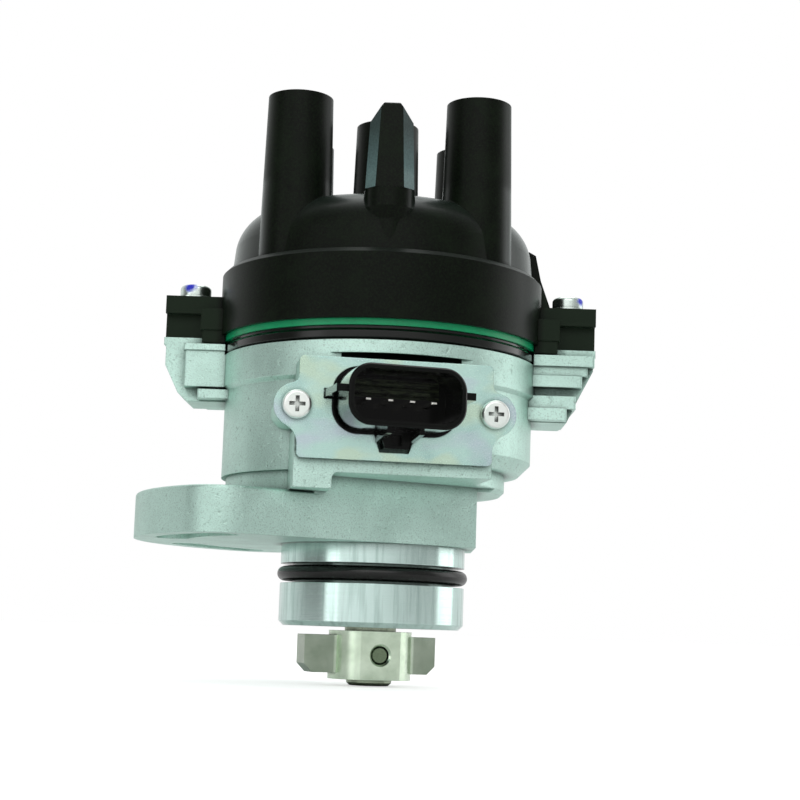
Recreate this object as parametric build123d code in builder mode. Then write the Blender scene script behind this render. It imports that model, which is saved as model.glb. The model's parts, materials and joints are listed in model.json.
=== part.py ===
# Ignition distributor for a four-cylinder engine, driven from the end of a camshaft.
# Millimetres and degrees. Z runs up the shaft axis and Z = 0 is the mounting face under the flange.
# X runs through the two cap ears, and the sensor connector faces -Y.
import os
from math import cos, radians, sin, sqrt, tan

from build123d import *

os.makedirs("parts", exist_ok=True)

# Fits
run_gap = 0.05  # radial, a turning part in a plain hole
fit_gap = 0.1  # radial, a fixed part slipped into its hole
part_gap = 0.3  # between neighbours that only lie beside each other

# Spigot and its ring
spigot_r = 24.5
spigot_depth = 21.3
spigot_chamfer = 1.2
ring_wire_r = 1.9
ring_stretch = 0.25  # how far the ring stands off the groove's root
ring_proud = 0.8  # how far the ring stands out of the spigot
groove_drop = 5.1  # mounting face down to the groove
groove_width = 5.2

# Flange
flange_thickness = 11.5
flange_land = 4.9  # between the slots and the flange's rim
flange_front_angle = 233
flange_rear_angle = 123
flange_corner_r = 12
flange_right = 26.7
flange_right_front = -14.5
flange_right_rear = 15
flange_edge_r = 0.8
slot_pitch_r = 54
slot_width = 9
slot_span = 30
slot_angles = (212, 148)  # middle of each adjusting slot
step_height = 4  # raised part of the flange under the connector
step_left = -9.5

# Housing body
boss_r = 34.5
boss_bottom = 14.5
boss_edge = 1.1
body_r = 41.3
body_bottom = 19.9
body_chamfer = 3.1
skirt_bottom = 16.8  # over the flange the wall runs on down to here
neck_inset = 1.2
ledge_z = 39.4
ring_overhang = 1
ring_z = 49
body_wall = 4
floor_z = 22
bush_boss_r = 13
bush_boss_top = 25

# Ears of the housing and the cap, with their screws
ear_from_cap = 7.4  # skirt of the cap to each ear's screw
ear_overhang = 6.9  # screw to the ear's outer end
ear_joint_z = 53.9
ear_half = 7.5
ear_lip = 2
ear_lip_step = 0.6
ear_boss_proud = 4  # blocks of the cap's ears beyond its plate
# Outer end of each ear, left then right: where it starts to slant, the knee and the toe.
# The first of each two numbers is counted from the screw, and the second is a height.
ear_slants = ((46.4, (2.7, 39.1), (0.1, 36.8)), (48.3, (2.1, 40), (-0.6, 34.2)))
# Blocks on the faces of each ear: from and to, counted from the screw, then bottom, top and proudness
left_ear_blocks = (
    (-12.4, 0.7, 40.3, 50, 4),
    (-13, 1.1, 50, 51.7, 4.5),
    (-13, -3.1, 37.2, 39.6, 4.6),
)
right_ear_blocks = (
    (-12.3, 6.3, 48.9, 51.8, 4),
    (-12.3, 4.6, 46.4, 48.9, 3),
    (-12.3, 3.1, 43.3, 46.4, 3.7),
    (-12.3, 1.6, 37.6, 41, 3.1),
    (-12.3, -0.9, 34.4, 37.6, 4.2),
)
ear_block_edge = 0.6
cap_ear_top = 65.3
cap_ear_plate = 4.8
ear_screw_r = 2.5
ear_screw_head_r = 4.2
ear_screw_head = 3.2
ear_washer_r = 4.9
ear_washer = 0.9
ear_screw_depth = 10

# Connector: it looks out along a line turned a little towards +X
pad_yaw = 9
pad_proud = 3.1  # pad's face beyond the body
pad_shift = -2.2
plate_half = 23.9
plate_bottom = 18.5
plate_top = 43.3
plate_thickness = 1.2
plate_standoff = 0.8
plate_ear_r = 5.5
plate_corner_r = 1.3
plate_upper_fillet = 2
plate_lower_fillet = 5
pad_inset = 0.3  # pad's outline inside the plate's
pad_ear_inset = 0.9
pad_drop = 0.4  # plate's top edge down to the pad's
pad_notch_top = 45.7
pad_notch = 3  # how far the notch bites into the body
pad_foot_half = 24.3
pad_foot_top = 25.5
pad_leg = 9.4  # width of the pad's part that reaches the flange
pad_leg_fillet = 1.5
pad_back_d = 24
pad_screw_z = 31.1
screw_half = 24.3  # plate's centre to each screw
shell_shift = 0.4  # shroud's middle to the left of the plate's
shell_z = 33
shell_lean = 7  # degrees, shroud's line of sight beyond the plate's
shell_width = 29.2
shell_height = 14.9
shell_corner_r = 5.6
shell_wall = 1.3
shell_reach = 12.5  # back of the plate to the shroud's rim
shell_depth = 13.2  # rim to the floor of the socket
shell_root = 2  # how far the shroud starts inside its flange
shell_neck_inset = 1
shell_flange = 1.8  # flange beyond the shroud on every side
shell_flange_thickness = 4.5
shell_neck = 4  # how far the neck reaches in behind the flange
rim_edge = 0.4
seal_thickness = 1
shell_window_gap = 0.8  # plate's window beyond the shroud
key_reach = 2
key_height = 1.8
key_rise = 1.2
key_stop = 1.5  # keys end this far behind the rim
lug_half = 4.3
lug_depth = 4.2
lug_length = 3.4
lug_slope = 107
lug_hole = 2.6
latch_rib_half = 0.6
latch_rib_x = 4
latch_rib_tip = 1.4
latch_rib_root = 2.8
latch_rib_stop = 1.6
shelf_width = 21
shelf_thickness = 0.9
shelf_reach = 2.6
shelf_heights = (2.2, 4.2)  # above the middle of the socket
pin_count = 4
pin_pitch = 5.5
pin_width = 1.5
pin_height = 0.8
pin_drop = 0.4  # pins below the middle of the socket
pin_reach = 6.6  # back of the plate to the pins' tips
plate_screw_r = 2
plate_screw_head_r = 3.5
plate_screw_head = 2.2
plate_screw_depth = 10

# Shaft and its drive
shaft_r = 6
collar_r = 6.8
collar_top = -13.3
spindle_z = 34
rotor_seat_r = 5
shaft_bottom = -36.4
shaft_top = 69
shaft_chamfer = 0.8
drive_yaw = 18
hub_r = 11
hub_bottom = -34.8
hub_top = -22.2
hub_flat = 9.6
tang_long = 18.9
tang_short = 17
tang_half = 3.9
tang_bottom = -33.2
tang_top = -23.4
tang_notch = 2.2
pin_r = 2.4
pin_inset = 0.5
pin_hole_edge = 0.5
cross_pin_z = -28.4

# Bearing, seal and bush
bearing_r = 16
bearing_width = 10
race_land_out = 13.1
race_land_in = 9
ball_r = 2.95
ball_count = 7
ball_gap = 0.05
cage_half = 0.9
cage_below = 4.2
cage_above = 1.5
clip_thickness = 1.0
clip_depth = 0.6
clip_reach = 2.6
snap_ring_depth = 1.0
snap_ring_thickness = 1.2
seal_width = 6
seal_skin = 1.2
bore_neck_r = 9
bush_r = 8
bush_bottom = 9
bush_top = 23

# Trigger disc and its pickup
disc_r = 28
disc_thickness = 0.8
disc_z = 38.6
disc_hub_r = 9
disc_slits = 36
disc_slit_inset = 2.2
disc_slit_length = 2.6
disc_slit_width = 1.2
disc_windows = 4
disc_window_r = 21.5
disc_window_width = 2.6
disc_window_span = 26
clamp_thickness = 1.4
pickup_in = 17
pickup_out = 33.5
pickup_half = 12
pickup_top = 45
pickup_jaw_gap = 1.1
pickup_throat = 1.3
foot_half = 20
foot_thickness = 3
foot_in = 20
foot_out = 28
foot_screw_x = 16
foot_screw_d = 24
foot_screw_r = 1.5
foot_screw_head_r = 2.8
foot_screw_head = 2
foot_screw_depth = 4

# Dust cover and gasket
cover_thickness = 1.5
cover_rim = 3.7
cover_rim_width = 1.6
cover_rim_edge = 0.7
cover_inset = 0.1  # cover inside the housing's ring
cover_hole_r = 14
cover_collar = 3.6
gasket_thickness = 1.6
gasket_width = 2

# Cap
cap_overhang = 1.1  # cap beyond the housing's ring
cap_wall = 3
skirt_top = 72.2
skirt_edge = 1.2
dome_foot_r = 40.9
dome_r = 40.2
dome_spring_z = 79
dome_waist_r = 37.4
dome_waist_z = 85
dome_crown_r = 30.5
dome_crown_z = 89
dome_top_z = 91.6
tower_x = 23.5
tower_y = 22.5
tower_turn = 1.9  # the towers stand turned by this from the line of the ears
tower_r = 8.5
tower_top = 115.7
coil_tower_top = 115.6
tower_taper = 1.25
socket_r = 5.25
socket_floor = 94
vent_x = 1.5
vent_y = -35.7
vent_boss_r = 6.5
vent_boss_z = 83.2
vent_boss_top = 88
vent_post_r = 4.9
vent_post_z = 80.2
hood_half = 5.6
hood_foot_step = 1.2  # how much wider than deep the hood is
hood_chamfer = 2.6
hood_top = 110.3
hood_top_half = 1.9
hood_shoulder = 106.2
hood_draft = 2.3
hood_edge = 0.7
hood_plug_r = 3.4
hood_plug = 4
rib_thickness = 3
rib_rise = 11  # rib's outline above the skirt's top, from the dome down to the ear
rib_fall = 3
cap_ear_block_in = 11.4  # block beside the skirt, counted from the screw
cap_ear_block_out = 3.1
cap_ear_block_top = 61.4
cap_ear_block_bottom = 55.6
cap_ear_tab_bottom = 52.2
cap_ear_tab_inset = 0.5
cap_ear_pocket = 2.5

# Electrodes, brush and rotor
brush_r = 2.4
brush_gap = 0.15  # brush above the leaf, so that it never cuts into it
brush_length = 7.1
brush_boss_r = 6
brush_boss_bottom = 82.5
terminal_r = 4.6
terminal_thickness = 2.5
spring_wire_r = 0.3
spring_turns = 4
electrode_in = 28.5
electrode_out = 34.5
electrode_half = 3
electrode_foot_z = 73
electrode_foot = 7
electrode_post_r = 2.6
rotor_hub_r = 9
rotor_hub_z = 55.5
rotor_deck_z = 71
rotor_deck = 4
rotor_deck_r = 12
rotor_arm_reach = 25
rotor_arm_half = 5.5
rotor_tail = 16
rotor_tip_r = 27.7
blade_thickness = 1.5
blade_half = 3.4
blade_tip_half = 6
blade_tip_length = 4
leaf_thickness = 0.4
leaf_half = 2
leaf_rise = 2.4
leaf_length = 9
rotor_screw_z = 62
rotor_screw_r = 2
rotor_screw_head_r = 3.2
rotor_screw_head = 2.2
rotor_angle = 135

# What follows from the sizes above
flange_r = slot_pitch_r + slot_width / 2 + flange_land
ring_r = body_r + ring_overhang
chamber_r = body_r - body_wall
cover_r = ring_r - cover_inset
cap_r = ring_r + cap_overhang
ear_x = cap_r + ear_from_cap
ear_end = ear_x + ear_overhang
pad_d = body_r + pad_proud
pad_top = plate_top - pad_drop
brush_bottom = rotor_deck_z + rotor_deck + blade_thickness + leaf_rise + leaf_thickness + brush_gap
groove_bottom = -groove_drop - groove_width
ring_mid_r = spigot_r + ring_proud - ring_wire_r
groove_root_r = ring_mid_r - ring_wire_r - ring_stretch
bearing_bottom = collar_top
bearing_top = bearing_bottom + bearing_width
bearing_mid = (bearing_bottom + bearing_top) / 2
ball_pitch_r = (race_land_in + race_land_out) / 2
snap_ring_bottom = bearing_bottom - snap_ring_thickness
seal_top = snap_ring_bottom - part_gap
cap_z = ring_z + cover_rim + gasket_thickness
brush_top = brush_bottom + brush_length
terminal_bottom = socket_floor - terminal_thickness
plate_d = pad_d + plate_standoff
plate_face = plate_d + plate_thickness
shell_flange_d = plate_d - shell_flange_thickness
seal_d = shell_flange_d - seal_thickness
shell_inner_d = shell_flange_d - shell_neck
shell_x = pad_shift - shell_shift
disc_clip_z = disc_z + disc_thickness + clamp_thickness
step_top = flange_thickness + step_height


def turned(angle, z=0.0):
    """A level plane whose x axis points at the given angle round the shaft."""
    a = radians(angle)
    return Plane(origin=(0, 0, z), x_dir=(cos(a), sin(a), 0), z_dir=(0, 0, 1))


def upright(angle):
    """An upright plane through the shaft's axis: x points at the given angle, y is up."""
    a = radians(angle)
    return Plane(origin=(0, 0, 0), x_dir=(cos(a), sin(a), 0), z_dir=(sin(a), -cos(a), 0))


def radial(angle, z):
    """A plane whose normal points away from the shaft at the given angle and height."""
    a = radians(angle)
    return Plane(origin=(0, 0, z), x_dir=(-sin(a), cos(a), 0), z_dir=(cos(a), sin(a), 0))


def outward(distance):
    """A plane square to the connector's line of sight: x to its right, y up, z outwards."""
    return upright(pad_yaw).offset(distance)


def level(z):
    return Plane.XY.offset(z)


def at(x, distance, z):
    """A point given by its place beside the connector's centre line and its distance from the shaft."""
    yaw = radians(pad_yaw)
    return (distance * sin(yaw) + x * cos(yaw), -distance * cos(yaw) + x * sin(yaw), z)


def shroud(distance):
    """A plane square to the leaning shroud, out from the plate's back: x to its right, y up."""
    lean = upright(pad_yaw + shell_lean)
    return Plane(origin=at(shell_x, plate_d, shell_z), x_dir=lean.x_dir, z_dir=lean.z_dir).offset(distance)


def save(piece, name):
    piece.label = name
    export_step(piece, f"parts/{name}.step")


# ---------------------------------------------------------------- housing
with BuildSketch() as flange_outline:
    front = radians(flange_front_angle)
    rear = radians(flange_rear_angle)
    with BuildLine():
        rim = CenterArc((0, 0), flange_r, flange_rear_angle, flange_front_angle - flange_rear_angle)
        Polyline(
            (flange_r * cos(front), flange_r * sin(front)),
            (flange_right, flange_right_front),
            (flange_right, flange_right_rear),
            (flange_r * cos(rear), flange_r * sin(rear)),
        )
    make_face()
    fillet(flange_outline.vertices().group_by(Axis.X)[0:2], radius=flange_corner_r)

with BuildPart() as flange_plate:
    with BuildSketch():
        add(flange_outline.sketch)
    extrude(amount=flange_thickness)
    fillet(flange_plate.faces().sort_by(Axis.Z)[-1].edges(), radius=flange_edge_r)

with BuildPart() as housing:
    # The body: boss, band, wall and the overhanging top ring, with the spigot below
    with BuildSketch(Plane.XZ):
        with BuildLine():
            Polyline(
                (0, -spigot_depth),
                (spigot_r - spigot_chamfer, -spigot_depth),
                (spigot_r, -spigot_depth + spigot_chamfer),
                (spigot_r, groove_bottom),
                (groove_root_r, groove_bottom),
                (groove_root_r, -groove_drop),
                (spigot_r, -groove_drop),
                (spigot_r, boss_bottom),
                (boss_r - boss_edge, boss_bottom),
                (boss_r, boss_bottom + boss_edge),
                (boss_r, body_bottom),
                (body_r - body_chamfer, body_bottom),
                (body_r, body_bottom + body_chamfer),
                (body_r, ledge_z),
                (ring_r, ledge_z + ring_overhang),
                (ring_r, ring_z),
                (0, ring_z),
                (0, -spigot_depth),
            )
        make_face()
    revolve(axis=Axis.Z)
    # In front the boss is cut flush with the flange
    with BuildSketch():
        with BuildLine():
            Polyline(
                (flange_r * cos(front), flange_r * sin(front)),
                (flange_right, flange_right_front),
                (2 * flange_right, flange_right_front),
                (2 * flange_right, -flange_r),
                (flange_r * cos(front), -flange_r),
                (flange_r * cos(front), flange_r * sin(front)),
            )
        make_face()
    extrude(amount=step_top, mode=Mode.SUBTRACT)
    # Flange plate, its raised part, and the wall that runs on down over the slots to a narrower neck
    add(flange_plate.part)
    with BuildSketch(level(flange_thickness - flange_edge_r)):
        add(flange_outline.sketch)
        with Locations((step_left + flange_r / 2, 0)):
            Rectangle(flange_r, 4 * flange_r, mode=Mode.INTERSECT)
    extrude(amount=step_height + flange_edge_r)
    for bottom, top, r in (
        (flange_thickness - flange_edge_r, skirt_bottom, body_r - neck_inset),
        (skirt_bottom, body_bottom + body_chamfer, body_r),
    ):
        with BuildSketch(level(bottom)):
            add(flange_outline.sketch)
            Circle(r, mode=Mode.INTERSECT)
        extrude(amount=top - bottom)
    # Connector pad: a flat block that runs down to the flange on its left
    with BuildSketch(outward(pad_d)) as pad_face:
        with Locations((pad_shift, (pad_top + step_top) / 2)):
            Rectangle(2 * (plate_half - pad_inset), pad_top - step_top)
        with Locations((pad_shift, (pad_foot_top + step_top) / 2)):
            Rectangle(2 * pad_foot_half, pad_foot_top - step_top)
        with Locations((pad_shift - pad_foot_half + pad_leg / 2, (flange_thickness + pad_foot_top) / 2)):
            Rectangle(pad_leg, pad_foot_top - flange_thickness)
        for side in (-1, 1):
            with Locations((pad_shift + side * screw_half, pad_screw_z)):
                Circle(plate_ear_r - pad_ear_inset)
        leg_corner = Vector(pad_shift - pad_foot_half + pad_leg, step_top)
        fillet(pad_face.vertices().sort_by_distance(leg_corner)[0], radius=pad_leg_fillet)
    extrude(amount=-(pad_d - pad_back_d))
    for side in (-1, 1):
        with BuildSketch(outward(pad_d)):
            with Locations((pad_shift + side * screw_half, pad_screw_z)):
                Circle(plate_screw_head_r + 1)
        extrude(amount=plate_standoff)
    # Ears: a slanting outer end, then blocks and ledges that stand forward from both faces
    for side, (slant_z, knee, toe) in zip((-1, 1), ear_slants):
        with BuildSketch(Plane.XZ.offset(-ear_half)):
            with BuildLine():
                Polyline(
                    (side * chamber_r, ear_joint_z),
                    (side * ear_end, ear_joint_z),
                    (side * ear_end, ear_joint_z - ear_lip),
                    (side * (ear_end - ear_lip_step), ear_joint_z - ear_lip - ear_lip_step),
                    (side * (ear_end - ear_lip_step), slant_z),
                    (side * (ear_x + knee[0]), knee[1]),
                    (side * (ear_x + toe[0]), toe[1]),
                    (side * chamber_r, toe[1]),
                    (side * chamber_r, ear_joint_z),
                )
            make_face()
        extrude(amount=2 * ear_half)
    for side, blocks in ((-1, left_ear_blocks), (1, right_ear_blocks)):
        for near, far, bottom, top, proud in blocks:
            with BuildSketch(level(bottom)):
                with Locations((side * (ear_x + (near + far) / 2), 0)):
                    RectangleRounded(far - near, 2 * (ear_half + proud), ear_block_edge)
            extrude(amount=top - bottom)
    # Bush boss on the chamber floor is left standing when the chamber is bored
    with BuildSketch(Plane.XZ):
        with BuildLine():
            Polyline(
                (bush_boss_r, floor_z),
                (chamber_r, floor_z),
                (chamber_r, ear_joint_z + 1),
                (0, ear_joint_z + 1),
                (0, bush_boss_top),
                (bush_boss_r, bush_boss_top),
                (bush_boss_r, floor_z),
            )
        make_face()
    revolve(axis=Axis.Z, mode=Mode.SUBTRACT)
    with BuildSketch(level(ring_z)):
        Circle(cover_r + part_gap)
    extrude(amount=ear_joint_z, mode=Mode.SUBTRACT)
    # Bores for the seal, snap ring, bearing and bush
    with BuildSketch(Plane.XZ):
        with BuildLine():
            Polyline(
                (0, -spigot_depth),
                (bearing_r, -spigot_depth),
                (bearing_r, snap_ring_bottom),
                (bearing_r + snap_ring_depth, snap_ring_bottom),
                (bearing_r + snap_ring_depth, bearing_bottom),
                (bearing_r, bearing_bottom),
                (bearing_r, bearing_top),
                (bore_neck_r, bearing_top),
                (bore_neck_r, bush_bottom),
                (bush_r, bush_bottom),
                (bush_r, bush_boss_top),
                (0, bush_boss_top),
                (0, -spigot_depth),
            )
        make_face()
    revolve(axis=Axis.Z, mode=Mode.SUBTRACT)
    # Adjusting slots, concentric with the shaft
    for middle in slot_angles:
        with BuildSketch():
            with BuildLine() as slot_line:
                CenterArc((0, 0), slot_pitch_r, middle - slot_span / 2, slot_span)
            SlotArc(slot_line.edge(), slot_width)
        extrude(amount=flange_thickness, mode=Mode.SUBTRACT)
    # Connector window, the recess for the shell's flange, and the notch above the pad
    with BuildSketch(outward(pad_d)):
        with Locations((shell_x, shell_z)):
            RectangleRounded(
                shell_width - 2 * shell_neck_inset + 2 * part_gap,
                shell_height - 2 * shell_neck_inset + 2 * part_gap,
                shell_corner_r - shell_neck_inset + part_gap,
            )
    extrude(amount=-(pad_d - pad_back_d), mode=Mode.SUBTRACT)
    with BuildSketch(outward(pad_d)):
        with Locations((shell_x, shell_z)):
            RectangleRounded(
                shell_width + 2 * shell_flange + 2 * fit_gap,
                shell_height + 2 * shell_flange + 2 * fit_gap,
                shell_corner_r,
            )
    extrude(amount=-(pad_d - seal_d), mode=Mode.SUBTRACT)
    with BuildSketch(outward(pad_d)):
        with Locations((pad_shift, (pad_top + pad_notch_top) / 2)):
            Rectangle(2 * plate_half, pad_notch_top - pad_top)
    extrude(amount=-(pad_proud + pad_notch), mode=Mode.SUBTRACT)
    # Screw holes
    with Locations((-ear_x, 0, ear_joint_z), (ear_x, 0, ear_joint_z)):
        Hole(ear_screw_r + fit_gap, depth=ear_screw_depth + 1)
    for side in (-1, 1):
        with BuildSketch(outward(plate_d)):
            with Locations((pad_shift + side * screw_half, pad_screw_z)):
                Circle(plate_screw_r + fit_gap)
        extrude(amount=-(plate_screw_depth + 1), mode=Mode.SUBTRACT)
        with Locations(at(shell_x + side * foot_screw_x, foot_screw_d, floor_z)):
            Hole(foot_screw_r + fit_gap, depth=foot_screw_depth + 1)
save(housing.part, "housing")

# ---------------------------------------------------------------- spigot ring, bearing, seal and bush
with BuildPart() as spigot_o_ring:
    with BuildSketch(Plane.XZ):
        with Locations((ring_mid_r, -groove_drop - groove_width / 2)):
            Circle(ring_wire_r)
    revolve(axis=Axis.Z)
save(spigot_o_ring.part, "spigot_o_ring")


def race(inner, outer, groove_r):
    """One bearing ring as a revolved section with its ball groove and rounded corners."""
    with BuildPart() as ring:
        with BuildSketch(Plane.XZ):
            with Locations(((inner + outer) / 2, bearing_mid)):
                RectangleRounded(outer - inner, bearing_width, 0.5)
            with Locations((ball_pitch_r, bearing_mid)):
                Circle(groove_r, mode=Mode.SUBTRACT)
        revolve(axis=Axis.Z)
    return ring.part


save(race(race_land_out, bearing_r, ball_r + ball_gap), "bearing_outer_race")
save(race(shaft_r, race_land_in, ball_r + ball_gap), "bearing_inner_race")

with BuildPart() as bearing_balls:
    with Locations((0, 0, bearing_mid)):
        with PolarLocations(ball_pitch_r, ball_count):
            Sphere(ball_r)
save(bearing_balls.part, "bearing_balls")

with BuildPart() as bearing_cage:
    with BuildSketch(Plane.XZ):
        with Locations((ball_pitch_r, bearing_mid - cage_below)):
            Rectangle(2 * cage_half, cage_below + cage_above, align=(Align.CENTER, Align.MIN))
    revolve(axis=Axis.Z)
    with Locations((0, 0, bearing_mid)):
        with PolarLocations(ball_pitch_r, ball_count):
            Sphere(ball_r + ball_gap, mode=Mode.SUBTRACT)
save(bearing_cage.part, "bearing_cage")

with BuildPart() as bearing_snap_ring:
    with BuildSketch(level(snap_ring_bottom)):
        Circle(bearing_r + snap_ring_depth - fit_gap)
        Circle(bearing_r - clip_reach, mode=Mode.SUBTRACT)
        with Locations((0, bearing_r)):
            Rectangle(2 * clip_reach, 4 * clip_reach, mode=Mode.SUBTRACT)
    extrude(amount=snap_ring_thickness - fit_gap)
save(bearing_snap_ring.part, "bearing_snap_ring")

with BuildPart() as oil_seal:
    # A cased lip seal: outer case, web and a lip that runs on the collar
    with BuildSketch(Plane.XZ):
        with BuildLine():
            Polyline(
                (bearing_r, seal_top),
                (bearing_r, seal_top - seal_width),
                (collar_r + 3 * seal_skin, seal_top - seal_width),
                (collar_r + run_gap, seal_top - seal_width + seal_skin),
                (collar_r + run_gap, seal_top - seal_width + 2 * seal_skin),
                (collar_r + seal_skin, seal_top - seal_skin),
                (collar_r + 2 * seal_skin, seal_top - seal_skin),
                (collar_r + 3 * seal_skin, seal_top - seal_width + 1.5 * seal_skin),
                (bearing_r - seal_skin, seal_top - seal_width + 1.5 * seal_skin),
                (bearing_r - seal_skin, seal_top),
                (bearing_r, seal_top),
            )
        make_face()
    revolve(axis=Axis.Z)
save(oil_seal.part, "oil_seal")

with BuildPart() as shaft_bush:
    with BuildSketch(level(bush_bottom)):
        Circle(bush_r)
        Circle(shaft_r + run_gap, mode=Mode.SUBTRACT)
    extrude(amount=bush_top - bush_bottom)
save(shaft_bush.part, "shaft_bush")


def open_clip(inner, outer, z, name):
    """A retaining clip: a flat ring with a mouth as wide as its groove's core."""
    with BuildPart() as clip:
        with BuildSketch(level(z)):
            Circle(outer)
            Circle(inner, mode=Mode.SUBTRACT)
            with Locations((0, outer / 2)):
                Rectangle(1.4 * inner, outer, mode=Mode.SUBTRACT)
        extrude(amount=clip_thickness)
    save(clip.part, name)


open_clip(shaft_r - clip_depth, shaft_r + clip_reach, bearing_top, "bearing_clip")
open_clip(rotor_seat_r - clip_depth, rotor_seat_r + clip_reach, disc_clip_z, "disc_clip")

# ---------------------------------------------------------------- shaft and drive coupling
with BuildPart() as shaft:
    with BuildSketch(Plane.XZ):
        with BuildLine():
            Polyline(
                (0, shaft_bottom),
                (shaft_r - shaft_chamfer, shaft_bottom),
                (shaft_r, shaft_bottom + shaft_chamfer),
                (shaft_r, hub_top),
                (collar_r, hub_top),
                (collar_r, collar_top),
                (shaft_r, collar_top),
                (shaft_r, bearing_top),
                (shaft_r - clip_depth, bearing_top),
                (shaft_r - clip_depth, bearing_top + clip_thickness),
                (shaft_r, bearing_top + clip_thickness),
                (shaft_r, spindle_z),
                (rotor_seat_r, spindle_z),
                (rotor_seat_r, disc_clip_z),
                (rotor_seat_r - clip_depth, disc_clip_z),
                (rotor_seat_r - clip_depth, disc_clip_z + clip_thickness),
                (rotor_seat_r, disc_clip_z + clip_thickness),
                (rotor_seat_r, shaft_top - shaft_chamfer),
                (rotor_seat_r - shaft_chamfer, shaft_top),
                (0, shaft_top),
                (0, shaft_bottom),
            )
        make_face()
    revolve(axis=Axis.Z)
    # Cross hole for the coupling's pin, and the flat and hole for the rotor's screw
    with BuildSketch(upright(drive_yaw)):
        with Locations((0, cross_pin_z)):
            Circle(pin_r)
    extrude(amount=hub_r, both=True, mode=Mode.SUBTRACT)
    with BuildSketch(radial(rotor_angle + 180, rotor_screw_z)):
        Circle(rotor_screw_r)
    extrude(amount=rotor_seat_r, mode=Mode.SUBTRACT)
save(shaft.part, "shaft")

with BuildPart() as drive_coupling:
    # A round hub with two flats, and a tang each side that is longer on the left
    with BuildSketch(turned(drive_yaw, hub_bottom)):
        Circle(hub_r)
        Rectangle(2 * hub_r, 2 * hub_flat, mode=Mode.INTERSECT)
    extrude(amount=hub_top - hub_bottom)
    with BuildSketch(turned(drive_yaw, tang_bottom)):
        with Locations(((tang_short - tang_long) / 2, 0)):
            Rectangle(tang_short + tang_long, 2 * tang_half)
    extrude(amount=tang_top - tang_bottom)
    with BuildSketch(upright(drive_yaw)):
        for side, reach in ((-1, tang_long), (1, tang_short)):
            with BuildLine():
                Polyline(
                    (side * reach, tang_bottom),
                    (side * reach, tang_bottom + tang_notch),
                    (side * (reach - tang_notch), tang_bottom),
                    (side * reach, tang_bottom),
                )
            make_face()
    extrude(amount=tang_half, both=True, mode=Mode.SUBTRACT)
    with BuildSketch(level(hub_bottom)):
        Circle(shaft_r)
    extrude(amount=hub_top - hub_bottom, mode=Mode.SUBTRACT)
    with BuildSketch(upright(drive_yaw)):
        with Locations((0, cross_pin_z)):
            Circle(pin_r)
    extrude(amount=hub_r, both=True, mode=Mode.SUBTRACT)
    chamfer(
        drive_coupling.edges().filter_by(lambda e: e.geom_type == GeomType.CIRCLE and e.radius == pin_r),
        length=pin_hole_edge,
    )
save(drive_coupling.part, "drive_coupling")

with BuildPart() as coupling_pin:
    with BuildSketch(upright(drive_yaw)):
        with Locations((0, cross_pin_z)):
            Circle(pin_r)
    extrude(amount=hub_flat - pin_inset, both=True)
    chamfer(coupling_pin.faces().filter_by(GeomType.PLANE).edges(), length=pin_inset)
save(coupling_pin.part, "coupling_pin")

# ---------------------------------------------------------------- trigger disc and pickup
with BuildPart() as disc_hub:
    with BuildSketch(level(spindle_z)):
        Circle(disc_hub_r)
        Circle(rotor_seat_r, mode=Mode.SUBTRACT)
    extrude(amount=disc_z - spindle_z)
    fillet(disc_hub.edges().group_by(Axis.Z)[0].sort_by(SortBy.RADIUS)[-1], radius=0.8)
save(disc_hub.part, "disc_hub")

with BuildPart() as slotted_disc:
    with BuildSketch(level(disc_z)):
        Circle(disc_r)
        Circle(rotor_seat_r, mode=Mode.SUBTRACT)
        # Crank-angle slits round the rim and one long window for each cylinder inside them
        with PolarLocations(disc_r - disc_slit_inset, disc_slits):
            Rectangle(disc_slit_length, disc_slit_width, mode=Mode.SUBTRACT)
        for window in range(disc_windows):
            with BuildLine() as window_line:
                CenterArc((0, 0), disc_window_r, window * 360 / disc_windows, disc_window_span)
            SlotArc(window_line.edge(), disc_window_width, mode=Mode.SUBTRACT)
    extrude(amount=disc_thickness)
save(slotted_disc.part, "slotted_disc")

with BuildPart() as disc_clamp:
    with BuildSketch(level(disc_z + disc_thickness)):
        Circle(disc_hub_r)
        Circle(rotor_seat_r, mode=Mode.SUBTRACT)
    extrude(amount=clamp_thickness)
    chamfer(disc_clamp.edges().group_by(Axis.Z)[-1].sort_by(SortBy.RADIUS)[-1], length=0.5)
save(disc_clamp.part, "disc_clamp")

with BuildPart() as pickup_body:
    # An optical pickup: a block whose throat takes the disc's rim, on two screwed feet
    with BuildSketch(outward(pickup_in)):
        with Locations((shell_x, (floor_z + pickup_top) / 2)):
            RectangleRounded(2 * pickup_half, pickup_top - floor_z, 1.5)
    extrude(amount=pickup_out - pickup_in)
    with BuildSketch(level(disc_z - pickup_jaw_gap)):
        Circle(disc_r + pickup_throat)
    extrude(amount=disc_thickness + 2 * pickup_jaw_gap, mode=Mode.SUBTRACT)
    with BuildSketch(outward(foot_in)):
        with Locations((shell_x, floor_z + foot_thickness / 2)):
            Rectangle(2 * foot_half, foot_thickness)
    extrude(amount=foot_out - foot_in)
    for side in (-1, 1):
        with Locations(at(shell_x + side * foot_screw_x, foot_screw_d, floor_z + foot_thickness)):
            Hole(foot_screw_r + fit_gap, depth=foot_thickness)
save(pickup_body.part, "pickup_body")


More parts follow.
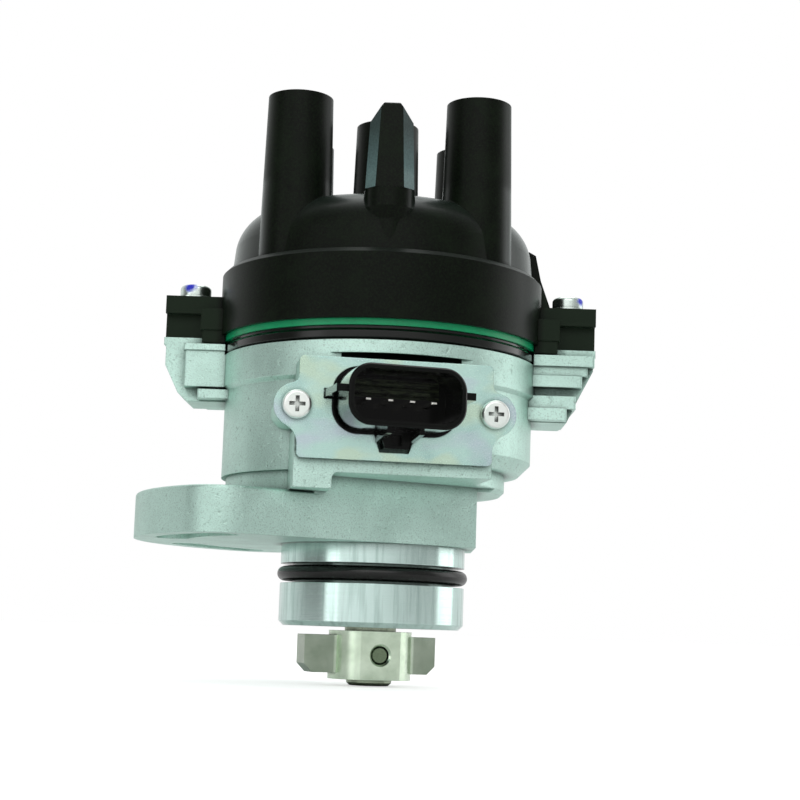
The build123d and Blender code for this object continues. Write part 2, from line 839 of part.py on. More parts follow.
def pan_screw(plane, shank_r, head_r, head, depth, washer_r=0.0, washer=0.0):
    """A cross-recessed pan screw that sits on the plane, with an optional washer under its head."""
    with BuildPart() as screw:
        if washer:
            with BuildSketch(plane):
                Circle(washer_r)
            extrude(amount=washer)
        with BuildSketch(plane.offset(washer)):
            Circle(head_r)
        extrude(amount=head)
        fillet(screw.faces().sort_by(Axis(plane.origin, plane.z_dir))[-1].edges(), radius=0.35 * head)
        with BuildSketch(plane.offset(washer + head)):
            Rectangle(1.1 * head_r, 0.26 * head_r)
            Rectangle(0.26 * head_r, 1.1 * head_r)
        extrude(amount=-0.55 * head, mode=Mode.SUBTRACT)
        with BuildSketch(plane):
            Circle(shank_r)
        extrude(amount=-depth)
    return screw.part


def pair(first, second):
    return Compound(children=[first, second])


def foot_screw(side):
    place = Plane(origin=at(side * foot_screw_x + shell_x, foot_screw_d, floor_z + foot_thickness))
    return pan_screw(
        place, foot_screw_r, foot_screw_head_r, foot_screw_head, foot_thickness + foot_screw_depth
    )


save(pair(foot_screw(-1), foot_screw(1)), "pickup_screws")

# ---------------------------------------------------------------- connector
with BuildPart() as connector_seal:
    with BuildSketch(outward(seal_d)):
        with Locations((shell_x, shell_z)):
            RectangleRounded(shell_width + 2 * shell_flange, shell_height + 2 * shell_flange, shell_corner_r)
            RectangleRounded(
                shell_width - 2 * shell_neck_inset + 2 * part_gap,
                shell_height - 2 * shell_neck_inset + 2 * part_gap,
                shell_corner_r - shell_neck_inset + part_gap,
                mode=Mode.SUBTRACT,
            )
    extrude(amount=seal_thickness)
save(connector_seal.part, "connector_seal")

shroud_axis = Axis(shroud(0).origin, shroud(0).z_dir)

with BuildPart() as connector_shell:
    with BuildSketch(outward(shell_flange_d)):
        with Locations((shell_x, shell_z)):
            RectangleRounded(shell_width + 2 * shell_flange, shell_height + 2 * shell_flange, shell_corner_r)
    extrude(amount=shell_flange_thickness)
    with BuildSketch(outward(shell_flange_d)):
        with Locations((shell_x, shell_z)):
            RectangleRounded(
                shell_width - 2 * shell_neck_inset,
                shell_height - 2 * shell_neck_inset,
                shell_corner_r - shell_neck_inset,
            )
    extrude(amount=-(shell_flange_d - shell_inner_d))
    # The shroud leans out of its flange
    with BuildSketch(shroud(-shell_root)):
        RectangleRounded(shell_width, shell_height, shell_corner_r)
    extrude(amount=shell_root + shell_reach)
    # Keys on both sides, and below it the latch: a lug between the window's edges and two tapering ribs
    with BuildSketch(shroud(0)):
        for side in (-1, 1):
            with Locations((side * (shell_width + key_reach) / 2, key_rise)):
                Rectangle(key_reach + shell_wall, key_height)
    extrude(amount=shell_reach - key_stop)
    with BuildSketch(shroud(0)):
        with Locations((0, -shell_height / 2)):
            Trapezoid(2 * lug_half, lug_depth, lug_slope, align=(Align.CENTER, Align.MAX))
    extrude(amount=lug_length)
    with BuildSketch(shroud(lug_length)):
        with Locations((0, -(shell_height + lug_depth) / 2)):
            Rectangle(lug_hole, lug_hole)
    extrude(amount=-lug_length / 2, mode=Mode.SUBTRACT)
    for side in (-1, 1):
        along = shroud(0)
        rib_foot = along.from_local_coords((side * latch_rib_x, -shell_height / 2, 0))
        with BuildSketch(Plane(origin=rib_foot, x_dir=along.z_dir, z_dir=-along.x_dir)):
            with BuildLine():
                Polyline(
                    (0, shell_wall / 2),
                    (shell_reach - latch_rib_stop, shell_wall / 2),
                    (shell_reach - latch_rib_stop, -latch_rib_tip),
                    (0, -latch_rib_root),
                    (0, shell_wall / 2),
                )
            make_face()
        extrude(amount=latch_rib_half, both=True)
    chamfer(connector_shell.faces().sort_by(shroud_axis)[-1].edges(), length=rim_edge)
    with BuildSketch(shroud(shell_reach)):
        RectangleRounded(
            shell_width - 2 * shell_wall, shell_height - 2 * shell_wall, shell_corner_r - shell_wall
        )
    extrude(amount=-shell_depth, mode=Mode.SUBTRACT)
    # Shelves on the socket's floor above the pins
    with BuildSketch(shroud(shell_reach - shell_depth)):
        for height in shelf_heights:
            with Locations((-(shell_width - shelf_width) / 4, height)):
                Rectangle(shelf_width, shelf_thickness)
    extrude(amount=shelf_reach)
    with BuildSketch(shroud(shell_reach)):
        with Locations((0, -pin_drop)):
            with GridLocations(pin_pitch, 0, pin_count, 1):
                Rectangle(pin_width, pin_height)
    extrude(amount=-2 * shell_reach, mode=Mode.SUBTRACT)
save(connector_shell.part, "connector_shell")

with BuildPart() as connector_pins:
    with BuildSketch(shroud(pin_reach)):
        with Locations((0, -pin_drop)):
            with GridLocations(pin_pitch, 0, pin_count, 1):
                Rectangle(pin_width, pin_height)
    extrude(amount=-2 * shell_reach)
    split(bisect_by=outward(pickup_out))
    chamfer(connector_pins.faces().sort_by(shroud_axis)[-pin_count:].edges(), length=pin_height / 4)
save(connector_pins.part, "connector_pins")

with BuildPart() as connector_plate:
    # A clamp plate with blended ears at its screws, and a window that clears the shroud and its latch
    with BuildSketch(outward(plate_d)) as plate_outline:
        with Locations((pad_shift, (plate_bottom + plate_top) / 2)):
            RectangleRounded(2 * plate_half, plate_top - plate_bottom, plate_corner_r)
        for side in (-1, 1):
            with Locations((pad_shift + side * screw_half, pad_screw_z)):
                Circle(plate_ear_r)
        for turn, radius in ((1, plate_upper_fillet), (-1, plate_lower_fillet)):
            inner_corners = plate_outline.vertices().filter_by(
                lambda v: 0 < turn * (v.Y - pad_screw_z) < plate_ear_r + 1
            )
            fillet(inner_corners, radius=radius)
        for side in (-1, 1):
            with Locations((pad_shift + side * screw_half, pad_screw_z)):
                Circle(plate_screw_r + fit_gap, mode=Mode.SUBTRACT)
    extrude(amount=plate_thickness)
    with BuildSketch(shroud(-shell_root)):
        RectangleRounded(
            shell_width + 2 * shell_window_gap,
            shell_height + 2 * shell_window_gap,
            shell_corner_r + shell_window_gap,
        )
        for side in (-1, 1):
            with Locations((side * (shell_width + key_reach) / 2, key_rise)):
                Rectangle(key_reach + 2 * shell_window_gap, key_height + shell_window_gap)
        with Locations((0, -shell_height / 2)):
            Trapezoid(
                2 * lug_half + 2 * shell_window_gap,
                lug_depth + shell_window_gap,
                lug_slope,
                align=(Align.CENTER, Align.MAX),
            )
    extrude(amount=shell_root + shell_reach, mode=Mode.SUBTRACT)
save(connector_plate.part, "connector_plate")


def plate_screw(side):
    face = outward(plate_face)
    place = Plane(
        origin=at(pad_shift + side * screw_half, plate_face, pad_screw_z), x_dir=face.x_dir, z_dir=face.z_dir
    )
    return pan_screw(
        place, plate_screw_r, plate_screw_head_r, plate_screw_head, plate_thickness + plate_screw_depth
    )


save(pair(plate_screw(-1), plate_screw(1)), "plate_screws")

# ---------------------------------------------------------------- dust cover and gasket
with BuildPart() as dust_cover:
    with BuildSketch(Plane.XZ):
        with BuildLine():
            Polyline(
                (cover_hole_r, ring_z),
                (cover_r - cover_rim_edge, ring_z),
                (cover_r, ring_z + cover_rim_edge),
                (cover_r, ring_z + cover_rim - 2 * cover_rim_edge),
                (cover_r - cover_rim_edge, ring_z + cover_rim - cover_rim_edge),
                (cover_r - cover_rim_edge, ring_z + cover_rim),
                (cover_r - cover_rim_width, ring_z + cover_rim),
                (cover_r - cover_rim_width, ring_z + cover_thickness),
                (cover_hole_r + cover_thickness, ring_z + cover_thickness),
                (cover_hole_r + cover_thickness, ring_z + cover_collar),
                (cover_hole_r, ring_z + cover_collar),
                (cover_hole_r, ring_z),
            )
        make_face()
    revolve(axis=Axis.Z)
save(dust_cover.part, "dust_cover")

with BuildPart() as cap_gasket:
    with BuildSketch(level(ring_z + cover_rim)):
        Circle(cover_r)
        Circle(cover_r - gasket_width, mode=Mode.SUBTRACT)
    extrude(amount=gasket_thickness)
save(cap_gasket.part, "cap_gasket")

# ---------------------------------------------------------------- cap
tower_draft = tan(radians(tower_taper))
on_foot = (Align.CENTER, Align.CENTER, Align.MIN)
under = (Align.CENTER, Align.CENTER, Align.MAX)
tower_turned = turned(tower_turn)
tower_spots = [
    tuple(tower_turned.from_local_coords((x * tower_x, y * tower_y)))[:2]
    for x, y in ((-1, -1), (1, -1), (1, 1), (-1, 1))
]


def dome_section(inset, foot_z):
    """Half section of the cap's dome, drawn in from its outside by the wall."""
    with BuildSketch(Plane.XZ) as section:
        with BuildLine():
            Polyline(
                (0, dome_top_z - inset),
                (0, foot_z),
                (cap_r - inset, foot_z),
                (cap_r - inset, skirt_top - skirt_edge - inset),
                (cap_r - inset - skirt_edge, skirt_top - inset),
                (dome_foot_r - inset, skirt_top - inset),
                (dome_r - inset, dome_spring_z - inset / 2),
            )
            dome_side = ThreePointArc(
                (dome_r - inset, dome_spring_z - inset / 2),
                (dome_waist_r - inset * 0.9, dome_waist_z - inset * 0.7),
                (dome_crown_r - inset / 2, dome_crown_z - inset),
            )
            Line(dome_side @ 1, (0, dome_top_z - inset))
        make_face()
    return section.sketch


with BuildPart() as cap_hollow:
    add(dome_section(cap_wall, ear_joint_z - 1))
    revolve(axis=Axis.Z)

with BuildPart() as cap:
    add(dome_section(0, cap_z))
    revolve(axis=Axis.Z)
    # Tapered lead towers, widest at the foot
    for x, y in tower_spots:
        with Locations((x, y, skirt_top)):
            Cone(
                tower_r + (tower_top - skirt_top) * tower_draft,
                tower_r,
                tower_top - skirt_top,
                align=on_foot,
            )
    with Locations((0, 0, dome_spring_z)):
        Cone(
            tower_r + (coil_tower_top - dome_spring_z) * tower_draft,
            tower_r,
            coil_tower_top - dome_spring_z,
            align=on_foot,
        )
    # Boss for the vent, on a post that fades into the dome's side
    with BuildSketch(level(skirt_top)):
        with Locations((vent_x, vent_y)):
            Circle(vent_post_r)
    extrude(amount=vent_boss_top - skirt_top)
    with Locations((vent_x, vent_y, (vent_boss_z + vent_post_z) / 2)):
        Cone(vent_post_r, vent_boss_r, vent_boss_z - vent_post_z)
    with BuildSketch(level(vent_boss_z)):
        with Locations((vent_x, vent_y)):
            Circle(vent_boss_r)
    extrude(amount=vent_boss_top - vent_boss_z)
    # Ears: a top plate over a set-back body, with a block beside the skirt and a tab under each block
    for side in (-1, 1):
        with Locations((side * (cap_r + ear_end) / 2 - side, 0, cap_ear_top)):
            Box(ear_end - cap_r + 2, 2 * ear_half, cap_ear_plate, align=under)
            Box(
                ear_end - cap_r + 2,
                2 * (ear_half - cap_ear_pocket),
                cap_ear_top - ear_joint_z,
                align=under,
            )
        block_middle = side * (ear_x - (cap_ear_block_in + cap_ear_block_out) / 2)
        block_width = cap_ear_block_in - cap_ear_block_out
        with Locations((block_middle, 0, cap_ear_block_top)):
            Box(
                block_width,
                2 * (ear_half + ear_boss_proud),
                cap_ear_block_top - cap_ear_block_bottom,
                align=under,
            )
            Box(
                block_width - 2 * cap_ear_tab_inset,
                2 * (ear_half + ear_boss_proud - cap_ear_tab_inset),
                cap_ear_block_top - ear_joint_z,
                align=under,
            )
        for front in (-1, 1):
            tab_y = front * (ear_half + (ear_boss_proud - cap_ear_tab_inset + part_gap) / 2)
            with Locations((block_middle, tab_y, ear_joint_z + 1)):
                Box(
                    block_width - 2 * cap_ear_tab_inset,
                    ear_boss_proud - cap_ear_tab_inset - part_gap,
                    ear_joint_z + 1 - cap_ear_tab_bottom,
                    align=under,
                )
    # A rib from the dome down to the right ear
    with BuildSketch(Plane.XZ.offset(-ear_half)):
        with BuildLine():
            Polyline(
                (dome_crown_r, skirt_top + rib_rise),
                (cap_r - rib_fall, skirt_top + rib_rise),
                (cap_r - skirt_edge, skirt_top + rib_rise - 1),
                (cap_r + 0.3, skirt_top + rib_fall),
                (ear_x - ear_screw_head_r + 0.6, cap_ear_top),
                (dome_crown_r, cap_ear_top),
                (dome_crown_r, skirt_top + rib_rise),
            )
        make_face()
    extrude(amount=rib_thickness)
    # Hollow inside, then the brush boss and the electrode carriers grow back into it
    add(cap_hollow.part, mode=Mode.SUBTRACT)
    with BuildSketch(level(brush_boss_bottom)):
        Circle(brush_boss_r)
    extrude(amount=dome_top_z - cap_wall / 2 - brush_boss_bottom)
    # Below its wall the cap is open, and the ears reach down to the joint outside the gasket
    with BuildSketch(level(cap_ear_tab_bottom)):
        Circle(cover_r + part_gap)
    extrude(amount=cap_z - cap_ear_tab_bottom, mode=Mode.SUBTRACT)
    # Sockets for the leads, terminal seats, brush bore
    for x, y in tower_spots:
        with Locations((x, y, tower_top)):
            Hole(socket_r, depth=tower_top - socket_floor)
    with Locations((0, 0, coil_tower_top)):
        Hole(socket_r, depth=coil_tower_top - socket_floor)
    with BuildSketch(level(brush_boss_bottom)):
        Circle(brush_r + run_gap)
    extrude(amount=terminal_bottom - brush_boss_bottom, mode=Mode.SUBTRACT)
    with BuildSketch(level(terminal_bottom)):
        Circle(terminal_r)
    extrude(amount=terminal_thickness, mode=Mode.SUBTRACT)
    for x, y in tower_spots:
        with BuildSketch(level(terminal_bottom)):
            with Locations((x, y)):
                Circle(terminal_r)
        extrude(amount=terminal_thickness, mode=Mode.SUBTRACT)
        with BuildSketch(level(electrode_foot_z)):
            with Locations((x, y)):
                Circle(electrode_post_r)
        extrude(amount=terminal_bottom - electrode_foot_z, mode=Mode.SUBTRACT)
    with BuildSketch(level(vent_boss_top)):
        with Locations((vent_x, vent_y)):
            Rectangle(2 * hood_half + hood_foot_step + 2 * fit_gap, 2 * hood_half + 2 * fit_gap)
    extrude(amount=dome_top_z - vent_boss_top, mode=Mode.SUBTRACT)
    with Locations((vent_x, vent_y, vent_boss_top)):
        Hole(hood_plug_r, depth=hood_plug)
    with Locations((-ear_x, 0, cap_ear_top), (ear_x, 0, cap_ear_top)):
        Hole(ear_screw_r + 2 * fit_gap, depth=cap_ear_top - ear_joint_z)
save(cap.part, "cap")

with BuildPart() as vent_hood:
    # A faceted chimney with a sloped roof, plugged into its boss
    with BuildSketch(level(vent_boss_top)):
        with Locations((vent_x, vent_y)):
            Rectangle(2 * hood_half + hood_foot_step, 2 * hood_half)
    extrude(amount=hood_top - vent_boss_top, taper=hood_draft)
    chamfer(vent_hood.edges().filter_by(lambda e: abs(e.tangent_at(0.5).Z) > 0.9), length=hood_chamfer)
    with BuildSketch(Plane.XZ.offset(-vent_y - 2 * hood_half)):
        with BuildLine():
            Polyline(
                (vent_x - 2 * hood_half, vent_boss_top),
                (vent_x - 2 * hood_half, hood_shoulder - 2 * (hood_top - hood_shoulder)),
                (vent_x - hood_top_half, hood_top),
                (vent_x + hood_top_half, hood_top),
                (vent_x + 2 * hood_half, hood_shoulder - 2 * (hood_top - hood_shoulder)),
                (vent_x + 2 * hood_half, vent_boss_top),
                (vent_x - 2 * hood_half, vent_boss_top),
            )
        make_face()
    extrude(amount=4 * hood_half, mode=Mode.INTERSECT)
    fillet(vent_hood.faces().sort_by(Axis.Z)[-1].edges(), radius=hood_edge)
    with BuildSketch(level(vent_boss_top)):
        with Locations((vent_x, vent_y)):
            Circle(hood_plug_r)
    extrude(amount=-hood_plug)
save(vent_hood.part, "vent_hood")


def ear_screw(side):
    return pan_screw(
        Plane(origin=(side * ear_x, 0, cap_ear_top)),
        ear_screw_r,
        ear_screw_head_r,
        ear_screw_head,
        cap_ear_top - ear_joint_z + ear_screw_depth,
        ear_washer_r,
        ear_washer,
    )


save(pair(ear_screw(-1), ear_screw(1)), "cap_screws")

# ---------------------------------------------------------------- electrodes, terminals and brush
with BuildPart() as plug_electrodes:
    # Each one hangs from its terminal disc and turns a flat foot in towards the rotor
    for x, y in tower_spots:
        with BuildSketch(level(terminal_bottom)):
            with Locations((x, y)):
                Circle(terminal_r)
        extrude(amount=terminal_thickness)
        with BuildSketch(level(electrode_foot_z)):
            with Locations((x, y)):
                Circle(electrode_post_r)
        extrude(amount=terminal_bottom - electrode_foot_z)
        spot = Vector(x, y, electrode_foot_z)
        reach = sqrt(x * x + y * y)
        with BuildSketch(Plane(origin=spot, x_dir=(x, y, 0), z_dir=(0, 0, 1))):
            with Locations(((electrode_in + electrode_out) / 2 - reach, 0)):
                Rectangle(electrode_out - electrode_in, 2 * electrode_half)
        extrude(amount=electrode_foot)
save(plug_electrodes.part, "plug_electrodes")

with BuildPart() as coil_terminal:
    with BuildSketch(level(terminal_bottom)):
        Circle(terminal_r)
    extrude(amount=terminal_thickness)
save(coil_terminal.part, "coil_terminal")

with BuildPart() as carbon_brush:
    with BuildSketch(level(brush_bottom)):
        Circle(brush_r)
    extrude(amount=brush_length)
    fillet(carbon_brush.edges().sort_by(Axis.Z)[0], radius=0.8)
save(carbon_brush.part, "carbon_brush")

with BuildPart() as brush_spring:
    # A coil of a few turns between the brush and the coil terminal
    spring_r = brush_r - spring_wire_r - fit_gap
    spring_pitch = (terminal_bottom - brush_top - 2 * spring_wire_r) / spring_turns
    with BuildLine():
        coil = Helix(
            pitch=spring_pitch,
            height=spring_pitch * spring_turns,
            radius=spring_r,
            center=(0, 0, brush_top + spring_wire_r),
        )
    with BuildSketch(Plane(origin=coil @ 0, z_dir=coil % 0)):
        Circle(spring_wire_r)
    sweep(path=coil)
save(brush_spring.part, "brush_spring")

# ---------------------------------------------------------------- rotor
with BuildPart() as rotor_arm:
    with BuildSketch(level(rotor_hub_z)):
        Circle(rotor_hub_r)
    extrude(amount=rotor_deck_z - rotor_hub_z)
    with BuildSketch(turned(rotor_angle, rotor_deck_z)):
        Circle(rotor_deck_r)
        with Locations(((rotor_arm_reach - rotor_tail) / 2, 0)):
            Rectangle(rotor_arm_reach + rotor_tail, 2 * rotor_arm_half)
    extrude(amount=rotor_deck)
    fillet(rotor_arm.edges().filter_by(Axis.Z), radius=1.5)
    with BuildSketch(level(rotor_hub_z)):
        Circle(rotor_seat_r)
    extrude(amount=shaft_top - rotor_hub_z, mode=Mode.SUBTRACT)
    with BuildSketch(radial(rotor_angle + 180, rotor_screw_z)):
        Circle(rotor_screw_r)
    extrude(amount=rotor_hub_r, mode=Mode.SUBTRACT)
save(rotor_arm.part, "rotor_arm")

with BuildPart() as rotor_electrode:
    # A flat blade whose tip is wider than its stem and ends on an arc round the shaft
    with BuildSketch(turned(rotor_angle, rotor_deck_z + rotor_deck)):
        with Locations((rotor_tip_r / 2, 0)):
            Rectangle(rotor_tip_r + 2 * blade_half, 2 * blade_half)
        with Locations((rotor_tip_r - blade_tip_length / 2, 0)):
            Rectangle(blade_tip_length + 2, 2 * blade_tip_half)
        Circle(rotor_tip_r, mode=Mode.INTERSECT)
    extrude(amount=blade_thickness)
save(rotor_electrode.part, "rotor_electrode")

with BuildPart() as rotor_contact:
    # A bent leaf that lies on the blade and rises under the brush
    with BuildSketch(upright(rotor_angle)):
        with BuildLine() as leaf_line:
            leaf_z = rotor_deck_z + rotor_deck + blade_thickness
            Polyline(
                (leaf_length, leaf_z),
                (leaf_length / 2, leaf_z),
                (leaf_length / 5, leaf_z + leaf_rise),
                (-leaf_length / 5, leaf_z + leaf_rise),
                (-leaf_length / 5, leaf_z + leaf_rise + leaf_thickness),
                (leaf_length / 4, leaf_z + leaf_rise + leaf_thickness),
                (leaf_length / 2 + leaf_thickness, leaf_z + leaf_thickness),
                (leaf_length, leaf_z + leaf_thickness),
                (leaf_length, leaf_z),
            )
        make_face()
    extrude(amount=leaf_half, both=True)
save(rotor_contact.part, "rotor_contact")

rotor_side = radial(rotor_angle + 180, rotor_screw_z)
save(
    pan_screw(
        rotor_side.offset(rotor_hub_r),
        rotor_screw_r,
        rotor_screw_head_r,
        rotor_screw_head,
        rotor_hub_r - fit_gap,
    ),
    "rotor_screw",
)
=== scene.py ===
import json
import math

import bpy
from mathutils import Matrix, Vector


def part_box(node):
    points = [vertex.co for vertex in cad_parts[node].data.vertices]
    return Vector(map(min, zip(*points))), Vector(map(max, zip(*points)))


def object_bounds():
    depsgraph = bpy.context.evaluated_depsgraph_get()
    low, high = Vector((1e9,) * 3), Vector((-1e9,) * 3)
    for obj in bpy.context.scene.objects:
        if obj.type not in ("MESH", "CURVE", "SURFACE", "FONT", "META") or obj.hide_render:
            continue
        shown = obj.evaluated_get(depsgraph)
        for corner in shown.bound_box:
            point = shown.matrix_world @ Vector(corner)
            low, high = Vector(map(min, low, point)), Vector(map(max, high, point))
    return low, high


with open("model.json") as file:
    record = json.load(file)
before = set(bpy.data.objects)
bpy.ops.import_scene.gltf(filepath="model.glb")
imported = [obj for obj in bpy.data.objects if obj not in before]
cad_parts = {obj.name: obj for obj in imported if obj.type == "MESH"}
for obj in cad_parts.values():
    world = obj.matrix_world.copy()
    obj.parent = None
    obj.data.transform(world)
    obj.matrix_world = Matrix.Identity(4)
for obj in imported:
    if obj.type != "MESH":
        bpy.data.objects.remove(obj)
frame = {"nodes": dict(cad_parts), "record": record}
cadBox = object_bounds()
nodes = frame["nodes"]
mm = 0.001


# Camera: it stands a little below the spigot and looks up at the cap
camera = {
    "place": (5.85 * mm, -440 * mm, -21.8 * mm),
    "lens": 73.8,  # mm, over the sensor
    "sensor": 36,  # mm across
    "near": 10 * mm,  # nothing closer is drawn
    "pitch": math.radians(8.0),  # upwards
    "roll": math.radians(1.9),  # leans the object's top to the right
}


def makeCamera(values):
    pitch, roll = values["pitch"], values["roll"]
    forward = Vector((0, math.cos(pitch), math.sin(pitch)))
    level = Vector((1, 0, 0))
    upright = level.cross(forward)
    up = math.cos(roll) * upright - math.sin(roll) * level
    right = forward.cross(up)
    data = bpy.data.cameras.new("frontCamera")
    data.lens = values["lens"]
    data.sensor_width = values["sensor"]
    data.clip_start = values["near"]
    made = bpy.data.objects.new("frontCamera", data)
    bpy.context.collection.objects.link(made)
    axes = Matrix((right, up, -forward)).transposed().to_4x4()
    made.matrix_world = Matrix.Translation(values["place"]) @ axes
    bpy.context.scene.camera = made


makeCamera(camera)
print("camera placed")


# Shader toolkit: a Signal is one output socket, a Graph one node tree and a Paint one material
class Signal:
    def __init__(self, graph, socket):
        self.graph = graph
        self.socket = socket

    def maths(self, operation, *others):
        return self.graph.node(
            "ShaderNodeMath", {"operation": operation}, dict(enumerate((self, *others)))
        )

    def __add__(self, other):
        return self.maths("ADD", other)

    __radd__ = __add__

    def __sub__(self, other):
        return self.maths("SUBTRACT", other)

    def __rsub__(self, other):
        return self.maths("MULTIPLY_ADD", -1, other)

    def __mul__(self, other):
        return self.maths("MULTIPLY", other)

    __rmul__ = __mul__

    def __truediv__(self, other):
        return self.maths("DIVIDE", other)

    def __pow__(self, other):
        return self.maths("POWER", other)

    def __gt__(self, other):
        return self.maths("GREATER_THAN", other)

    def __lt__(self, other):
        return self.maths("LESS_THAN", other)

    def __abs__(self):
        return self.maths("ABSOLUTE")


class Graph:
    def __init__(self, tree):
        self.tree = tree

    def node(self, kind, settings=None, values=None, output=0):
        made = self.tree.nodes.new(kind)
        for setting, value in (settings or {}).items():
            setattr(made, setting, value)
        for socket, value in (values or {}).items():
            if isinstance(value, Signal):
                self.tree.links.new(value.socket, made.inputs[socket])
            else:
                made.inputs[socket].default_value = value
        return Signal(self, made.outputs[output]) if made.outputs else None


class Paint(Graph):
    def __init__(self, name, **constants):
        self.material = bpy.data.materials.new(name)
        self.material.use_nodes = True
        super().__init__(self.material.node_tree)
        self.shader = self.tree.nodes["Principled BSDF"]
        for socket, value in constants.items():
            self.input(socket).default_value = value
        self.place = self.node("ShaderNodeTexCoord", output="Object")

    def input(self, socket):
        return self.shader.inputs[socket.replace("_", " ")]

    def feed(self, **signals):
        for socket, signal in signals.items():
            self.tree.links.new(signal.socket, self.input(socket))

    def fed(self, socket):  # what feeds the shader there so far
        return Signal(self, self.input(socket).links[0].from_socket)


def rgb(red, green, blue):  # a colour as a screen shows it, turned into amounts of light
    def light(value):
        share = value / 255
        return share / 12.92 if share <= 0.04045 else ((share + 0.055) / 1.055) ** 2.4

    return (light(red), light(green), light(blue), 1)


def grey(light):
    return (light, light, light, 1)


def step(graph, value, low, high):  # 0 below low, 1 above high, straight between
    return graph.node(
        "ShaderNodeMapRange", values={"Value": value, "From Min": low, "From Max": high}
    )


def between(graph, value, low, high):  # stretched to run from low to high
    return graph.node("ShaderNodeMapRange", values={"Value": value, "To Min": low, "To Max": high})


def within(value, low, high):  # 1 between low and high, otherwise 0
    return (value > low) * (value < high)


# Sockets of a Mix node that mixes colours, and how finely the shaders look round themselves
mix = {"factor": 0, "under": 6, "over": 7, "result": 2}
cornerRays = 6
edgeRays = 4
slantBlend = 0.4


def blendColour(graph, factor, under, over, mode="MIX"):
    return graph.node(
        "ShaderNodeMix",
        {"data_type": "RGBA", "blend_type": mode},
        {mix["factor"]: factor, mix["under"]: under, mix["over"]: over},
        mix["result"],
    )


def noise(paint, values):  # size is that of one blotch
    where = paint.place
    if "stretch" in values:
        where = paint.node("ShaderNodeMapping", values={"Vector": where, "Scale": values["stretch"]})
    return paint.node(
        "ShaderNodeTexNoise",
        values={
            "Vector": where,
            "Scale": 1 / values["size"],
            "Detail": values["detail"],
            "Roughness": values["rough"],
        },
    )


def laid(paint, under, field, values, colour=None):  # a colour over another where a field is high
    factor = step(paint, field, *values["shows"]) * values["strength"]
    return blendColour(paint, factor, under, colour or values["colour"])


def shadeCorners(paint, under, values):  # painted shade: a darker colour laid in the corners that ambient occlusion finds closed in
    rays = {"samples": cornerRays}
    openness = paint.node("ShaderNodeAmbientOcclusion", rays, {"Distance": values["reach"]}, "AO")
    corners = 1 - step(paint, openness, *values["open"])
    return blendColour(paint, corners * values["strength"], under, values["colour"])


def softEdges(paint, radius):  # the small radius that every real edge has
    return paint.node("ShaderNodeBevel", {"samples": edgeRays}, {"Radius": radius})


def bump(paint, height, distance, over=None):
    over = {"Normal": over} if over else {}
    return paint.node("ShaderNodeBump", values={"Height": height, "Distance": distance, **over})


def axisOf(graph, letter, vector):
    return graph.node("ShaderNodeSeparateXYZ", values={0: vector}, output=letter)


def facing(paint, letter):  # how far a surface faces along an axis
    return axisOf(paint, letter, paint.node("ShaderNodeNewGeometry", output="Normal"))


def glancing(paint):  # 0 where a surface is seen square on, 1 where it is seen at a slant
    return paint.node("ShaderNodeLayerWeight", values={"Blend": slantBlend}, output="Facing")


def offAxis(paint):  # distance from the shaft's axis
    x = axisOf(paint, "X", paint.place)
    y = axisOf(paint, "Y", paint.place)
    return (x**2 + y**2) ** 0.5


def along(paint, turn):  # distance from the axis towards a side turned from the front by an angle
    side = (math.sin(turn), -math.cos(turn), 0)
    return paint.node(
        "ShaderNodeVectorMath", {"operation": "DOT_PRODUCT"}, {0: paint.place, 1: side}, "Value"
    )


def camelCase(words):
    first, *rest = words.split("_")
    return first + "".join(word.title() for word in rest)


# Cast aluminium of the housing, turned bright on the spigot below the flange
casting = {
    "pale": rgb(206, 237, 226),
    "patches": {
        "size": 14.3 * mm, "detail": 4, "rough": 0.58,
        "shows": (0.4, 0.64), "strength": 0.55, "colour": rgb(181, 211, 200),
    },
    "grain": {
        "size": 0.32 * mm, "detail": 4, "rough": 0.65,
        "shows": (0.52, 0.68), "strength": 0.55, "colour": rgb(120, 142, 132),
    },
    "pits": {
        "size": 1.4 * mm, "detail": 3, "rough": 0.5,
        "shows": (0.66, 0.74), "strength": 0.5, "colour": rgb(120, 142, 132),
    },
    "pitDepth": (0.68, 0.6),
    "grainHeight": 0.055 * mm,
    "machined": rgb(224, 247, 242),
    "machinedFrom": (-0.1 * mm, -0.2 * mm),
    "turning": {
        "size": 0.25 * mm, "detail": 2, "rough": 0.7, "stretch": (0.01, 0.01, 1),
        "shows": (0.35, 0.7), "strength": 0.5, "colour": rgb(206, 237, 226),
    },
    "turningHeight": 0.004 * mm,
    # painted reflection: darker vertical streaks on the turned spigot
    "reflectionStreaks": {
        "size": 1.67 * mm, "detail": 3, "rough": 0.6, "stretch": (1, 1, 0.06),
        "shows": (0.48, 0.68), "strength": 0.55, "colour": rgb(168, 196, 188),
    },
    "roughness": 0.37,
    "unevenness": 0.1,
    "polish": 0.3,  # how much smoother the turned surface is
    # painted shade in the housing's corners and recesses
    "grime": {
        "reach": 3.5 * mm, "open": (0.35, 0.9),
        "strength": 0.9, "colour": rgb(38, 48, 42),
    },
    "edgeRadius": 0.3 * mm,
    "notch": {  # painted shade in the narrow notch over the connector's plate, where hardly any light gets in
        "turn": math.radians(9),
        "from": 30 * mm,
        "radius": 41.2 * mm,
        "heights": (42.8 * mm, 45.8 * mm),
        "colour": rgb(7, 10, 8),
    },
}


